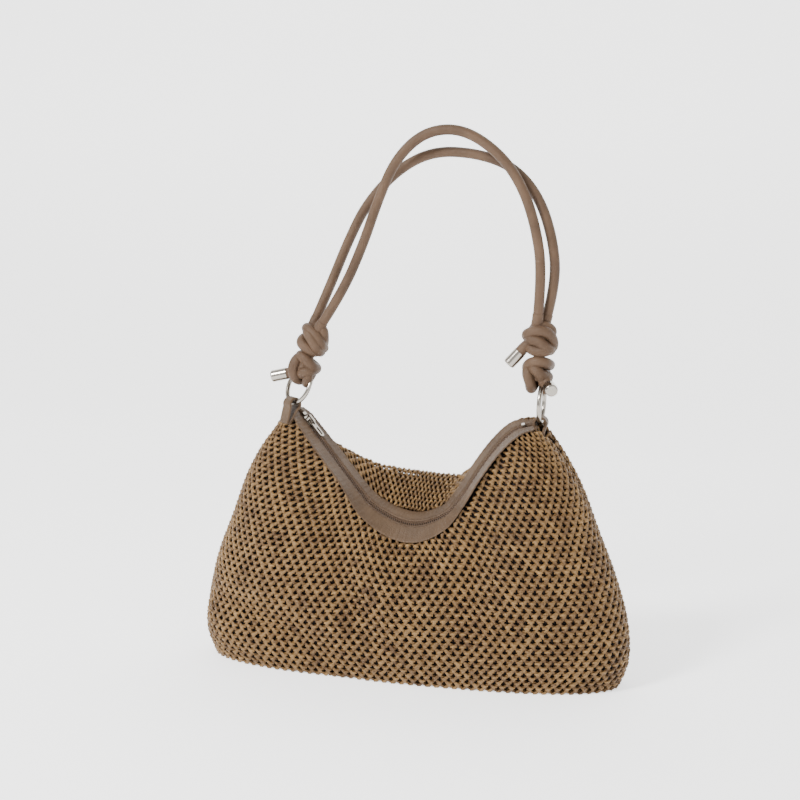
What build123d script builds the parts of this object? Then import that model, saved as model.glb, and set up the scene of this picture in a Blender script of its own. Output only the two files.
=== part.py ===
from build123d import *

import os
from math import cos, pi, radians, sin, sqrt, tan

# A hobo bag that stands on a flat base. X runs along the zip, -Y is the front and +Z is up.
# The origin is the middle of the base. All sizes are in millimetres.

# Body: horizontal sections as (height, half width, depth in front, depth behind)
SECTIONS = [
    (0, 192, 48, 48),
    (25, 200, 57, 58),
    (60, 198, 60, 61),
    (100, 187, 58, 60),
    (140, 173, 53, 56),
    (180, 162, 46, 50),
    (210, 152, 38, 41),
    (236, 142, 27, 29),
]
SQUARENESS = 0.25       # how far a section is fuller than an ellipse
CORNER_POWER = 12       # how late the top edges close towards the side seams
SLUMP_POWER = 4.5         # how near the top edge the fabric leans towards the zip
FIT = 0.05              # how closely the surfaces follow their points
WEAVE = 3.0             # thickness of the open-weave straw fabric
LINING = 0.8            # thickness of the lining
LINING_GAP = 1.0        # between the straw and the lining
SEAM_GAP = 0.3          # between the two halves at the side seams
BASE_INSET = 5.2        # from the walls' outer edge to the base panel
LINING_BASE_INSET = 6.0 # from the walls' outer edge to the lining's base

# Zip: (x, y, z) along its centre line, straight from x = -103 to x = -55 where the slider runs
ZIP_LINE = [
    (-118, 2.0, 240),
    (-108, 1.3, 235.6),
    (-103, 0.05, 230.85),
    (-99, -1.0, 226.5),
    (-59, -11.5, 183),
    (-55, -12.55, 178.65),
    (-32, -18.2, 156.5),
    (4, -23, 143),
    (34, -20, 151),
    (50, -16, 168),
    (65, -11, 192),
    (80, -7, 213),
    (94, -3.5, 227.5),
    (108, -1, 232),
    (118, 1, 234),
]
CORNER_X = 113          # where the top edges turn towards the side seams
ZIP_FROM = -104.5       # the zip's ends along X
ZIP_TO = 104.5
# Directions across the zip, towards the front and towards the back, as (x, dx, dy, dz)
FRONT_ACROSS = [
    (-118, -0.8, -0.6, 0.1),
    (-103, -0.264, -0.964, -0.024),
    (-99, -0.264, -0.964, -0.024),
    (-59, -0.264, -0.964, -0.024),
    (-55, -0.264, -0.964, -0.024),
    (-30, -0.15, -0.86, -0.48),
    (4, 0, -0.66, -0.75),
    (34, 0.15, -0.85, -0.5),
    (60, 0.3, -0.93, -0.15),
    (90, 0.35, -0.92, -0.15),
    (118, 0.8, -0.6, 0.05),
]
BACK_ACROSS = [
    (-118, -0.4, 0.9, -0.05),
    (-103, 0.264, 0.964, 0.024),
    (-99, 0.264, 0.964, 0.024),
    (-59, 0.264, 0.964, 0.024),
    (-55, 0.264, 0.964, 0.024),
    (-30, 0.1, 0.93, 0.32),
    (4, 0, 0.88, 0.47),
    (34, -0.12, 0.9, 0.4),
    (60, -0.3, 0.82, 0.45),
    (90, -0.25, 0.82, 0.45),
    (118, 0.2, 0.9, 0.3),
]
BAND_START = 3.2        # leather facing: from this far beside the zip's centre line ...
FRONT_BAND_WIDTH = 14.5 # ... this wide in the middle
BACK_BAND_WIDTH = 9.0
BAND_TAPER = 0.4        # share of the width lost at the zip's ends
BAND = 1.6
BAND_TO_WEAVE = 3.7     # gap between the leather and the woven wall
TAPE_START = 1.0        # zip tapes and coils, beside the centre line
TAPE_WIDTH = 10.0
TAPE = 0.45
TAPE_RISE = -1.3        # the tape's middle, from the leather's middle
COIL_START = 1.05
COIL_WIDTH = 1.6
COIL = 1.5
COIL_RISE = -0.15       # the coils' middle, from the leather's middle
LINING_DROP = 26        # the lining stops this far below the walls' top edges
# The back panel's crest above the edge of the back facing: (x, back by, up by)
CREST_RISE = [
    (-118, 2, 0.5),
    (-100, 4, 0.5),
    (-81, 9, 1),
    (-60, 24, 9),
    (-30, 41, 22),
    (4, 47, 27),
    (30, 42, 23),
    (50, 31, 13),
    (66, 21, 4),
    (85, 10, 1),
    (100, 5, 0.5),
    (118, 2, 0.5),
]
CREST_SPREAD = 0.08     # how much wider the crest is than the zip
FOLD_END = 0.8          # the fold-over stops short of the corners
FOLD_ROUND = 5.0

# Zip slider and pull
SLIDER_LENGTH = 11.0
SLIDER_WIDTH = 8.4
SLIDER_PLATE = 1.4
SLIDER_CHANNEL = 3.0    # clear height between its two plates
SLIDER_RISE = -0.25     # the channel's middle, from the leather's middle
SLIDER_X = -98.0
BRIDGE_HEIGHT = 4.2
PULL_LENGTH = 21.0
PULL_WIDTH = 6.0
PULL = 1.4
STOP_SIZE = (3.0, 4.6, 2.2)
TOP_STOP_X = -103.5
BOTTOM_STOP_X = 102.5

# Rings, tabs and cords
WIRE = 4.0
RING_RADIUS = 16.5      # to the middle of the wire
LEFT_RING = Vector(-105, -5, 260)
RIGHT_RING = Vector(117.5, 0, 253)
# Corners as (name, ring's centre, the ring's normal, the way the tab hangs from its lowest point)
CORNERS = [
    ("left", LEFT_RING, Vector(0.57, 0.71, -0.42), Vector(-0.4, -0.231, -0.887)),
    ("right", RIGHT_RING, RIGHT_RING - LEFT_RING, Vector(0, 0, -1)),
]
LEATHER = 1.8
LOOP_RADIUS = 4.7       # inside of the tab's loop
LOOP_DROP = 14.0        # from the loop's centre to its inner tip
TAB_WIDTH = 13.0
TAB_TAIL = 5.0
CLEARANCE = 0.3
CORD = 9.0
UPPER_KNOT = (13.8, 27.0)   # radius and height
LOWER_KNOT = (13.5, 26.5)
KNOT_ROUND = 6.0
LEFT_KNOTS = Vector(-106, -6, 265)
LEFT_KNOTS_UP = Vector(16, 1, 50)
RIGHT_KNOTS = Vector(113.5, 0, 269)
RIGHT_KNOTS_UP = Vector(3, 0, 53)
# Cord ends as (name, knot, point inside the knot, mouth of the cap, direction out of the knot)
CORD_ENDS = [
    ("left_front", "left_lower", (-104, -4, 274), (-117, -3, 270.5), (-0.97, -0.08, -0.22)),
    ("left_back", "left_lower", (-102, -3, 278), (-105, 12, 275.5), (-0.25, 0.95, -0.17)),
    ("right_front", "right_upper", (109, -1, 308), (98.2, -2.8, 298), (-0.66, -0.1, -0.74)),
    ("right_back", "right_lower", (118, -4, 281), (126.5, -15, 270.5), (0.3, -0.95, -0.08)),
]
ELBOW = 6.0             # straight length of cord before its cap
TIP_LENGTH = 15.0
TIP_RADIUS = 5.4
TIP_HOLE = 4.6
TIP_HOLE_DEPTH = 9.0
TIP_ROUND = 1.6

FRONT_CORD_ROUTE = [
    (-83, -10, 315),
    (-62, -9, 346),
    (-42, -9, 390),
    (-28, -9, 430),
    (-12, -9, 465),
    (14, -8, 488),
    (47, -7, 490),
    (79, -6, 469),
    (99, -5, 441),
    (111, -4, 405),
    (116.5, -3, 367),
    (113.5, -4, 327),
]
BACK_CORD_ROUTE = [
    (-91, -1, 318),
    (-78, 7, 351),
    (-62, 9, 390),
    (-44, 9, 425),
    (-14, 9, 456),
    (18, 8, 471),
    (56, 8, 469),
    (88, 7, 458),
    (111, 6, 433),
    (124, 5, 397),
    (128, 4, 359),
    (119.5, 4, 326),
]


def between(table, x):
    """Values at x of the smooth curve through a table's rows, each (x, value, ...)."""
    i = max(0, min(len(table) - 2, sum(row[0] <= x for row in table) - 1))
    a, b = table[i], table[i + 1]
    before, after = table[max(i - 1, 0)], table[min(i + 2, len(table) - 1)]
    step = b[0] - a[0]
    u = (x - a[0]) / step
    values = []
    for k in range(1, len(a)):
        slope_a = (b[k] - before[k]) / (b[0] - before[0]) * step
        slope_b = (after[k] - a[k]) / (after[0] - a[0]) * step
        change = b[k] - a[k]
        values.append(
            a[k] + u * slope_a + u * u * (3 * change - 2 * slope_a - slope_b)
            + u**3 * (slope_a + slope_b - 2 * change)
        )
    return values


# ---------------------------------------------------------------- the bag's surfaces


def zip_point(x):
    return Vector(x, *between(ZIP_LINE, x))


def zip_tangent(x):
    return (zip_point(x + 0.5) - zip_point(x - 0.5)).normalized()


def across(table, x):
    """Unit vector across the zip at x, square to it."""
    direction = Vector(*between(table, x))
    along = zip_tangent(x)
    return (direction - along * direction.dot(along)).normalized()


def outward(table, x):
    """Unit vector out of the zip's surface at x."""
    normal = across(table, x).cross(zip_tangent(x)).normalized()
    return normal if table is FRONT_ACROSS else normal * -1


def band_width(table, x):
    middle = FRONT_BAND_WIDTH if table is FRONT_ACROSS else BACK_BAND_WIDTH
    return middle * (1 - BAND_TAPER * abs(x / CORNER_X) ** 6)


def closing(s):
    """1 along most of the top edge, falling to 0 at the side seams."""
    return sqrt(max(0.0, 1 - abs(s) ** CORNER_POWER))


def panel_edge(table, s):
    """Where the weave meets the leather facing, s from -1 to 1 between the side seams."""
    x = CORNER_X * sin(s * pi / 2)
    reach = BAND_START + band_width(table, x) + BAND_TO_WEAVE
    edge = zip_point(x) + across(table, x) * reach
    return Vector(edge.X, edge.Y * closing(s), edge.Z)


def crest(s):
    """Top of the back panel, behind and above the back facing."""
    x = CORNER_X * sin(s * pi / 2)
    edge = panel_edge(BACK_ACROSS, s)
    back_by, up_by = between(CREST_RISE, x)
    close = closing(s)
    return edge + Vector(CREST_SPREAD * x, back_by, up_by) * close


def wall_section(s, z, side, inset):
    """Point of a horizontal section; side is -1 in front and 1 behind."""
    half_width, front, back = between(SECTIONS, z)
    depth = front if side < 0 else back
    turn = s * pi / 2
    fullness = cos(turn) * (1 + SQUARENESS * sin(turn) ** 2)
    return Vector((half_width - inset) * sin(turn), side * (depth - inset) * fullness, z)


def wall(s, v, side, inset=0.0, foot=0.0, top_drop=0.0):
    """Point of the front or back wall, v from 0 at its foot to 1 at its top edge."""
    top = panel_edge(FRONT_ACROSS, s) if side < 0 else crest(s)
    plain_top = wall_section(s, top.Z, side, 0.0)
    height = foot + (top.Z - top_drop - foot) * v
    slump = (top - plain_top) * (height / top.Z) ** SLUMP_POWER
    point = wall_section(s, height, side, inset) + slump
    return point + Vector(0, side * SEAM_GAP / 2, 0)


def steps(low, high, count):
    return [low + (high - low) * i / (count - 1) for i in range(count)]


# ---------------------------------------------------------------- solids from surfaces


def edge_nearest(face, point):
    return min(face.edges(), key=lambda edge: (edge.position_at(0.5) - point).length)


def skin(outer, inner):
    """Closed solid between two grids of points, each a list of rows."""
    faces = [Face.make_surface_from_array_of_points(grid, tol=FIT) for grid in (outer, inner)]
    middle_row, middle_column = len(outer) // 2, len(outer[0]) // 2
    places = [(0, middle_column), (-1, middle_column), (middle_row, 0), (middle_row, -1)]
    sides = []
    for row, column in places:
        pair = [edge_nearest(faces[k], (outer, inner)[k][row][column]) for k in (0, 1)]
        sides.append(Face.make_surface_from_curves(*pair))
    return Solid(Shell(faces + sides)).fix()


def wall_skin(side, inset, thickness, foot=0.0, top_drop=0.0, columns=25, rows=12):
    """A wall's solid: outer surface at inset, thickness measured inwards."""
    grids = []
    for depth in (inset, inset + thickness):
        grids.append([
            [wall(s, v, side, depth, foot, top_drop) for s in steps(-1, 1, columns)]
            for v in steps(0, 1, rows)
        ])
    return skin(*grids)


def strip(table, start, width, thickness, rise, columns=41):
    """Flat strip beside the zip: start and width across it, rise out of its surface."""
    grids = []
    for level in (rise + thickness / 2, rise - thickness / 2):
        rows = []
        for share in (0, 0.5, 1):
            row = []
            for x in steps(ZIP_FROM, ZIP_TO, columns):
                reach = start + share * (width(table, x) if callable(width) else width)
                row.append(zip_point(x) + across(table, x) * reach + outward(table, x) * level)
            rows.append(row)
        grids.append(rows)
    return skin(*grids)


def tube(route, diameter, name):
    """Round cord along straight runs joined by tangent arcs."""
    points = [Vector(*p) for p in route]
    radii = []
    for a, b, c in zip(points, points[1:], points[2:]):
        turn = radians((b - a).get_angle(c - b))
        shorter = min((b - a).length, (c - b).length)
        radii.append(0.45 * shorter / tan(turn / 2))
    path = FilletPolyline(*points, radius=radii)
    profile = Plane(origin=path @ 0, z_dir=path % 0) * Circle(diameter / 2)
    solid = sweep(profile, path=path)
    length = path.length
    expected = pi * diameter**2 / 4 * length
    print(f"{name}: length {length:.1f} mm, volume ratio {solid.volume / expected:.4f}")
    print(f"{name}: radii {[round(r) for r in radii]}")
    return solid


# ---------------------------------------------------------------- body


def tab_room():
    """Space round the two tabs' lower ends, kept clear of fabric and leather."""
    rooms = []
    for _, centre, normal, hang in CORNERS:
        wire, run, down = tab_frame(centre, normal, hang)
        frame = Plane(origin=wire + down * (LOOP_DROP / 2 + 3), x_dir=down, z_dir=run.cross(down))
        rooms.append(frame * Box(LOOP_DROP + 16, TAB_WIDTH + 1, 2 * (LOOP_RADIUS + LEATHER) + 1))
    return rooms


def clear_of_tabs(shape):
    for room in tab_room():
        shape = shape - room
    return shape


def make_front_panel():
    return clear_of_tabs(wall_skin(-1, 0.0, WEAVE))


def make_back_panel():
    """Back wall with the fold-over from its crest down to the back facing."""
    columns = steps(-FOLD_END, FOLD_END, 25)
    grids = []
    for level in (0.0, WEAVE):
        rows = []
        for share in steps(0, 1, 7):
            row = []
            for s in columns:
                top, edge = crest(s), panel_edge(BACK_ACROSS, s)
                lift = Vector(0, -0.8, 1) * FOLD_ROUND * closing(s)
                start = top + Vector(0, -1.2, -1.5)
                near = top * 0.35 + edge * 0.65 + Vector(0, 0, 2)
                u = 1 - share
                point = (
                    start * u**3 + (start + lift) * 3 * u * u * share
                    + near * 3 * u * share * share + edge * share**3
                )
                out = outward(BACK_ACROSS, CORNER_X * sin(s * pi / 2))
                row.append(point - (out * share + Vector(0, 0, u)) * level)
            rows.append(row)
        grids.append(rows)
    fold = skin(*grids)
    return clear_of_tabs(wall_skin(1, 0.0, WEAVE) + fold)


def base_outline(inset):
    """Closed outline of the walls' foot, moved inwards."""
    turns = steps(-1, 1, 25)
    front = [wall_section(s, 0, -1, inset) for s in turns]
    back = [wall_section(-s, 0, 1, inset) for s in turns[1:-1]]
    return Spline(front + back, periodic=True)


def make_base(inset, low, thickness):
    face = make_face(base_outline(inset))
    return Pos(0, 0, low) * extrude(face, thickness)


# ---------------------------------------------------------------- zip


def slider_plane():
    """Origin in the middle of the channel, X along the zip downwards, Z out of its surface."""
    normal = outward(FRONT_ACROSS, SLIDER_X)
    return Plane(origin=zip_point(SLIDER_X) + normal * SLIDER_RISE, x_dir=SLIDER_RUN, z_dir=normal)


SLIDER_RUN = (zip_point(-59) - zip_point(-99)).normalized()


def make_slider():
    """Two plates joined by a wedge between the tapes, with a bridge for the pull."""
    gap = SLIDER_CHANNEL / 2
    plate = RectangleRounded(SLIDER_LENGTH, SLIDER_WIDTH, 2.0)
    upper = Pos(0, 0, gap) * extrude(plate, SLIDER_PLATE)
    lower = Pos(0, 0, -gap - SLIDER_PLATE) * extrude(plate, SLIDER_PLATE)
    wedge = Pos(-SLIDER_LENGTH / 2 + 1.2, 0, 0) * Cylinder(0.7, SLIDER_CHANNEL)
    top = gap + SLIDER_PLATE
    bridge = Pos(0, 0, top + BRIDGE_HEIGHT / 2) * Box(8.4, 2.4, BRIDGE_HEIGHT)
    hole = Pos(0, 0, top + 1.4) * Box(5.6, 3.0, 2.8)
    bridge = fillet(bridge.edges().filter_by(Axis.Y), 0.9)
    return slider_plane() * (upper + lower + wedge + bridge - hole)


def make_pull():
    """Slotted metal pull that hangs from the bridge and lies along the zip."""
    top = SLIDER_CHANNEL / 2 + SLIDER_PLATE
    body = extrude(SlotOverall(PULL_LENGTH, PULL_WIDTH), PULL)
    eye = extrude(Pos(-PULL_LENGTH / 2 + 4.5, 0) * SlotOverall(5.8, 3.4), PULL)
    slot = extrude(Pos(4.2, 0) * SlotOverall(8.5, 2.2), PULL)
    return slider_plane() * (Pos(PULL_LENGTH / 2 - 1.4, 0, top + 0.5) * (body - eye - slot))


def make_stop(x):
    """Metal crimp over the end of the zip's coils."""
    plane = Plane(origin=zip_point(x), x_dir=zip_tangent(x), z_dir=outward(FRONT_ACROSS, x))
    block = Pos(0, 0, COIL / 2 + STOP_SIZE[2] / 2 + 2 * CLEARANCE) * Box(*STOP_SIZE)
    return plane * fillet(block.edges().filter_by(Axis.Z), 0.8)


# ---------------------------------------------------------------- corners and handle


def make_ring(centre, normal):
    return Plane(origin=centre, z_dir=normal) * Torus(RING_RADIUS, WIRE / 2)


def tab_frame(centre, normal, hang):
    """Lowest point of a ring's wire, the wire's run there, and the tab's direction square to it."""
    run = normal.normalized().cross(Vector(0, 0, -1)).normalized()
    lowest = run.cross(normal).normalized()
    if lowest.Z > 0:
        lowest = lowest * -1
    down = (hang - run * hang.dot(run)).normalized()
    return centre + lowest * RING_RADIUS, run, down


def make_tab(centre, normal, hang):
    """Strap loop with a drop-shaped opening round the ring's wire, and its sewn tail."""
    wire, run, down = tab_frame(centre, normal, hang)
    rise = RING_RADIUS - sqrt(RING_RADIUS**2 - (TAB_WIDTH / 2) ** 2)
    middle = wire + down * (LOOP_RADIUS - WIRE / 2 - 2 * CLEARANCE - rise)
    profile = Plane(origin=middle, x_dir=down, z_dir=run)

    def drop(radius, tip, tip_radius):
        circles = [Circle(radius), Pos(tip, 0) * Circle(tip_radius)]
        return make_hull([edge for circle in circles for edge in circle.edges()])

    outer = drop(LOOP_RADIUS + LEATHER, LOOP_DROP, LEATHER)
    inner = drop(LOOP_RADIUS, LOOP_DROP, 0.3)
    tail = Pos(LOOP_DROP + TAB_TAIL / 2, 0) * Rectangle(TAB_TAIL, 2 * LEATHER)
    return extrude(profile * (outer + tail - inner), TAB_WIDTH / 2, both=True)


def make_knot(foot, direction, size):
    """Barrel-shaped knot from foot along direction, flat at both ends."""
    radius, height = size
    barrel = Pos(0, 0, height / 2) * Cylinder(radius, height)
    barrel = fillet(barrel.edges().filter_by(GeomType.CIRCLE), KNOT_ROUND)
    return Plane(origin=foot, z_dir=direction) * barrel


def make_tail(inside, mouth, direction):
    """Cord's end from inside a knot, bent at an elbow, into the cap that starts at mouth."""
    elbow = mouth - direction * ELBOW
    end = mouth + direction * (TIP_HOLE_DEPTH - CLEARANCE)
    pieces = []
    for a, b in ((inside, elbow), (elbow, end)):
        run = b - a
        pieces.append(Plane(origin=(a + b) * 0.5, z_dir=run) * Cylinder(CORD / 2, run.length))
    pieces.append(Pos(*elbow) * Sphere(CORD / 2))
    return pieces[0] + pieces[1] + pieces[2]


def make_tip(start, direction):
    """Metal cap over a cord's end: blind hole and rounded nose."""
    cap = Pos(0, 0, TIP_LENGTH / 2) * Cylinder(TIP_RADIUS, TIP_LENGTH)
    cap = fillet(cap.edges().sort_by(Axis.Z)[-1], TIP_ROUND)
    hole = Pos(0, 0, TIP_HOLE_DEPTH / 2) * Cylinder(TIP_HOLE, TIP_HOLE_DEPTH)
    return Plane(origin=start, z_dir=direction) * (cap - hole)


def save(shape, name):
    os.makedirs("parts", exist_ok=True)
    export_step(shape, f"parts/{name}.step")


def main():
    lining_inset = WEAVE + LINING_GAP
    save(make_front_panel(), "front_panel")
    save(make_back_panel(), "back_panel")
    save(make_base(BASE_INSET, 0, WEAVE), "base_panel")
    lining_foot = lining_inset + LINING + CLEARANCE
    save(wall_skin(-1, lining_inset, LINING, lining_foot, LINING_DROP), "lining_front")
    save(wall_skin(1, lining_inset, LINING, lining_foot, LINING_DROP), "lining_back")
    save(make_base(LINING_BASE_INSET, lining_inset, LINING), "lining_base")

    for name, table in (("front", FRONT_ACROSS), ("back", BACK_ACROSS)):
        save(clear_of_tabs(strip(table, BAND_START, band_width, BAND, 0)), f"{name}_band")
        save(strip(table, TAPE_START, TAPE_WIDTH, TAPE, TAPE_RISE), f"zipper_tape_{name}")
        save(strip(table, COIL_START, COIL_WIDTH, COIL, COIL_RISE), f"zipper_coil_{name}")
    save(make_stop(TOP_STOP_X), "zipper_top_stop")
    save(make_stop(BOTTOM_STOP_X), "zipper_bottom_stop")
    save(make_slider(), "zipper_slider")
    save(make_pull(), "zipper_pull")

    for name, centre, normal, hang in CORNERS:
        save(make_ring(centre, normal), f"{name}_ring")
        save(make_tab(centre, normal, hang), f"{name}_tab")

    save(tube(FRONT_CORD_ROUTE, CORD, "handle_cord_front"), "handle_cord_front")
    save(tube(BACK_CORD_ROUTE, CORD, "handle_cord_back"), "handle_cord_back")

    knots = {}
    stacks = (("left", LEFT_KNOTS, LEFT_KNOTS_UP), ("right", RIGHT_KNOTS, RIGHT_KNOTS_UP))
    for side, foot, direction in stacks:
        up = direction.normalized()
        knots[f"{side}_lower"] = make_knot(foot, up, LOWER_KNOT)
        knots[f"{side}_upper"] = make_knot(foot + up * LOWER_KNOT[1], up, UPPER_KNOT)
    for name, knot, inside, mouth, direction in CORD_ENDS:
        inside, mouth, direction = Vector(*inside), Vector(*mouth), Vector(*direction).normalized()
        knots[knot] = knots[knot] + make_tail(inside, mouth, direction)
        save(make_tip(mouth, direction), f"cord_tip_{name}")
    for name, knot in knots.items():
        save(knot, f"{name}_knot")


main()
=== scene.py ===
from math import cos, pi, radians, sin

import bpy
import numpy as np
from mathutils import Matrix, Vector

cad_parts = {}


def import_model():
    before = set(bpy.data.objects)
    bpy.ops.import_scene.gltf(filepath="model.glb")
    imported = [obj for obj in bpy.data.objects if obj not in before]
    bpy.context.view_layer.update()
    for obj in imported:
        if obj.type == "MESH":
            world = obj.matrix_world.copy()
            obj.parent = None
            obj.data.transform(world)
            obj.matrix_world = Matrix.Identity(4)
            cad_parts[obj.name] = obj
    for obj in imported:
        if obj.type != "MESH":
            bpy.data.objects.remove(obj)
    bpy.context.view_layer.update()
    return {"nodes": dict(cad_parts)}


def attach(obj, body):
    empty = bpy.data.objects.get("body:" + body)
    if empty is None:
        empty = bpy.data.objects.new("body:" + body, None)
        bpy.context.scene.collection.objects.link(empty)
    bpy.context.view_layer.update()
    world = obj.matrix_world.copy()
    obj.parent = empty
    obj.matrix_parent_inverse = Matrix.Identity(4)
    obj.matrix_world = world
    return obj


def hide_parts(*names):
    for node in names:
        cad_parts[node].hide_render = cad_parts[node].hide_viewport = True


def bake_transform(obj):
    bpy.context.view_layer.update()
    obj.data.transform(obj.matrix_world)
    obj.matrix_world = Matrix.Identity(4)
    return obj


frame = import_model()
MM = 0.001

# ---------------------------------------------------------------- the bag's surfaces, in mm

# Horizontal sections as (height, half width, depth in front, depth behind)
SECTIONS = [
    (0, 192, 48, 48),
    (25, 200, 57, 58),
    (60, 198, 60, 61),
    (100, 187, 58, 60),
    (140, 173, 53, 56),
    (180, 162, 46, 50),
    (210, 152, 38, 41),
    (236, 142, 27, 29),
]
SQUARENESS = 0.25       # how much fuller than an ellipse the sections are
CORNER_POWER = 12       # how late the two top edges close in on each other at the side seams
SLUMP_POWER = 4.5       # how near the top edge the fabric leans towards the zip
SEAM_GAP = 0.3          # between the two halves at the side seams
CORNER_X = 113          # where the zip's line meets the side seams
# Zip's centre line as (x, y, z)
ZIP_LINE = [
    (-118, 2.0, 240),
    (-108, 1.3, 235.6),
    (-103, 0.05, 230.85),
    (-99, -1.0, 226.5),
    (-59, -11.5, 183),
    (-55, -12.55, 178.65),
    (-32, -18.2, 156.5),
    (4, -23, 143),
    (34, -20, 151),
    (50, -16, 168),
    (65, -11, 192),
    (80, -7, 213),
    (94, -3.5, 227.5),
    (108, -1, 232),
    (118, 1, 234),
]
# Directions across the zip as (x, dx, dy, dz)
FRONT_ACROSS = [
    (-118, -0.8, -0.6, 0.1),
    (-103, -0.264, -0.964, -0.024),
    (-99, -0.264, -0.964, -0.024),
    (-59, -0.264, -0.964, -0.024),
    (-55, -0.264, -0.964, -0.024),
    (-30, -0.15, -0.86, -0.48),
    (4, 0, -0.66, -0.75),
    (34, 0.15, -0.85, -0.5),
    (60, 0.3, -0.93, -0.15),
    (90, 0.35, -0.92, -0.15),
    (118, 0.8, -0.6, 0.05),
]
BACK_ACROSS = [
    (-118, -0.4, 0.9, -0.05),
    (-103, 0.264, 0.964, 0.024),
    (-99, 0.264, 0.964, 0.024),
    (-59, 0.264, 0.964, 0.024),
    (-55, 0.264, 0.964, 0.024),
    (-30, 0.1, 0.93, 0.32),
    (4, 0, 0.88, 0.47),
    (34, -0.12, 0.9, 0.4),
    (60, -0.3, 0.82, 0.45),
    (90, -0.25, 0.82, 0.45),
    (118, 0.2, 0.9, 0.3),
]
# The back panel's crest above the back facing's edge: (x, back by, up by)
CREST_RISE = [
    (-118, 2, 0.5),
    (-100, 4, 0.5),
    (-81, 9, 1),
    (-60, 24, 9),
    (-30, 41, 22),
    (4, 47, 27),
    (30, 42, 23),
    (50, 31, 13),
    (66, 21, 4),
    (85, 10, 1),
    (100, 5, 0.5),
    (118, 2, 0.5),
]
CREST_SPREAD = 0.08     # how much wider the crest is than the zip
FOLD_ROUND = 5.0
BAND_START = 3.2        # leather facings, beside the zip's centre line
FRONT_BAND_WIDTH = 14.5
BACK_BAND_WIDTH = 9.0
BAND_TAPER = 0.4        # share of the width lost at the zip's ends
BAND_TO_WEAVE = 1.2     # the straw runs in under the leather, whose edge laps over it
# Soft folds of the walls as (x, z) to (x, z), how wide and how deep
FRONT_FOLDS = [
    ((-92, 212), (-28, 40), 19, -10.0),
    ((-60, 140), (10, 40), 22, 4.5),
    ((84, 205), (58, 60), 18, -8.0),
    ((110, 190), (120, 60), 24, 4.0),
    ((-130, 190), (-120, 70), 26, 4.0),
    ((-185, 62), (-50, 16), 18, -7.5),
]
BACK_FOLDS = [
    ((-90, 205), (-40, 60), 22, -4.0),
    ((88, 205), (45, 60), 22, -4.0),
    ((0, 170), (0, 60), 30, 3.0),
]


def between(table, x):
    """Values at each x of the smooth curve through a table's rows, each (x, value, ...)."""
    rows = np.array(table, float)
    x = np.asarray(x, float)
    i = np.clip(np.searchsorted(rows[:, 0], x, side="right") - 1, 0, len(rows) - 2)
    before, a, b = rows[np.maximum(i - 1, 0)], rows[i], rows[i + 1]
    after = rows[np.minimum(i + 2, len(rows) - 1)]
    step = (b - a)[..., :1]
    u = (x[..., None] - a[..., :1]) / step
    slope_a = (b - before) / (b - before)[..., :1] * step
    slope_b = (after - a) / (after - a)[..., :1] * step
    change = b - a
    values = a + u * slope_a + u**2 * (3 * change - 2 * slope_a - slope_b)
    return (values + u**3 * (slope_a + slope_b - 2 * change))[..., 1:]


def unit(v):
    return v / np.maximum(np.linalg.norm(v, axis=-1, keepdims=True), 1e-9)


def zip_point(x):
    x = np.asarray(x, float)
    return np.concatenate([x[..., None], between(ZIP_LINE, x)], axis=-1)


def zip_tangent(x):
    return unit(zip_point(np.asarray(x) + 0.5) - zip_point(np.asarray(x) - 0.5))


def across(table, x):
    direction = between(table, x)
    along = zip_tangent(x)
    return unit(direction - along * np.sum(direction * along, axis=-1, keepdims=True))


def outward(table, x):
    """Out of the zip's surface at x."""
    normal = unit(np.cross(across(table, x), zip_tangent(x)))
    return normal if table is FRONT_ACROSS else -normal


def closing(s):
    """1 along most of the top edge, falling to 0 at the side seams."""
    return np.sqrt(np.maximum(0.0, 1 - np.abs(s) ** CORNER_POWER))


def facing_reach(table, x):
    middle = FRONT_BAND_WIDTH if table is FRONT_ACROSS else BACK_BAND_WIDTH
    width = middle * (1 - BAND_TAPER * np.abs(x / CORNER_X) ** 6)
    return BAND_START + width + BAND_TO_WEAVE


def facing_point(table, s, share, rise=0.0):
    """Point of the leather facing: share 0 at the zip's centre line and 1 at the weave's edge."""
    x = CORNER_X * np.sin(s * pi / 2)
    reach = (facing_reach(table, x) * share)[..., None]
    point = zip_point(x) + across(table, x) * reach + outward(table, x) * rise
    point[..., 1] *= closing(s)
    return point


def crest(s):
    """Top of the back wall, behind and above the back facing."""
    x = CORNER_X * np.sin(s * pi / 2)
    back_by, up_by = np.moveaxis(between(CREST_RISE, x), -1, 0)
    lift = np.stack([CREST_SPREAD * x, back_by, up_by], axis=-1)
    return facing_point(BACK_ACROSS, s, np.ones_like(s)) + lift * closing(s)[..., None]


def wall_section(s, z, side, inset):
    """Points of a horizontal section; side is -1 in front and 1 behind."""
    half_width, front, back = np.moveaxis(between(SECTIONS, z), -1, 0)
    depth = front if side < 0 else back
    turn = s * pi / 2
    fullness = np.cos(turn) * (1 + SQUARENESS * np.sin(turn) ** 2)
    x = (half_width - inset) * np.sin(turn)
    return np.stack([x, side * (depth - inset) * fullness, z], axis=-1)


def wall(s, v, side, inset):
    """Points of the front or back wall, s across and v up, both flat arrays of one shape."""
    top = facing_point(FRONT_ACROSS, s, np.ones_like(s)) if side < 0 else crest(s)
    plain_top = wall_section(s, top[..., 2], side, 0.0)
    height = top[..., 2] * v
    slump = (top - plain_top) * (v**SLUMP_POWER)[..., None]
    return wall_section(s, height, side, inset) + slump + np.array([0, side * SEAM_GAP / 2, 0])


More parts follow.
